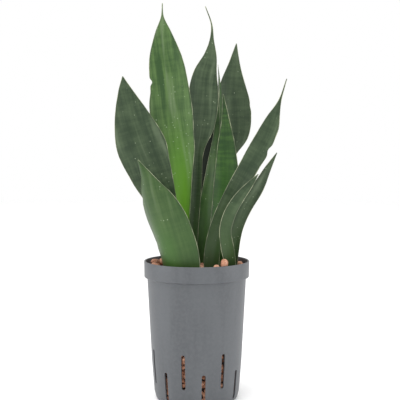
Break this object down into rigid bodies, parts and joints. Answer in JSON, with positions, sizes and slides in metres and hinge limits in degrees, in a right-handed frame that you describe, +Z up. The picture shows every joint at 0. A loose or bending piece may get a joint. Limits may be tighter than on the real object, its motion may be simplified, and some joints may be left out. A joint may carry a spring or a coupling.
{
  "type": "potted snake plant",
  "caption": "Broad-leaved snake plant growing in expanded clay granules in a slotted grey plastic culture pot.",
  "frame": {"origin": "centre of the pot's flat base", "axes": "+Z up along the pot's axis; -Y is the front of the plant"},
  "size_m": [0.2321, 0.146, 0.546],
  "materials": {
    "pot_plastic": "satin",
    "fired_clay": "matte",
    "rhizome_flesh": "matte",
    "leaf_bright": "satin",
    "leaf_dark": "satin"
  },
  "bodies": {
    "root": {"clay_bed": "fired_clay", "clay_granule_01": "fired_clay", "clay_granule_02": "fired_clay", "clay_granule_03": "fired_clay", "clay_granule_04": "fired_clay", "clay_granule_05": "fired_clay", "clay_granule_06": "fired_clay", "clay_granule_07": "fired_clay", "clay_granule_08": "fired_clay", "clay_granule_09": "fired_clay", "clay_granule_10": "fired_clay", "clay_granule_11": "fired_clay", "clay_granule_12": "fired_clay", "clay_granule_13": "fired_clay", "clay_granule_14": "fired_clay", "clay_granule_15": "fired_clay", "clay_granule_16": "fired_clay", "clay_granule_17": "fired_clay", "clay_granule_18": "fired_clay", "clay_granule_19": "fired_clay", "clay_granule_20": "fired_clay", "clay_granule_21": "fired_clay", "culture_pot": "pot_plastic", "leaf_back_right": "leaf_dark", "leaf_centre_curled_tip": "leaf_dark", "leaf_centre_right": "leaf_dark", "leaf_edge_on": "leaf_dark", "leaf_front": "leaf_dark", "leaf_inner_back": "leaf_dark", "leaf_left": "leaf_dark", "leaf_long_right": "leaf_dark", "leaf_small_right": "leaf_dark", "leaf_small_wavy": "leaf_dark", "leaf_tallest": "leaf_bright", "rhizome": "rhizome_flesh"}
  },
  "joints": []
}
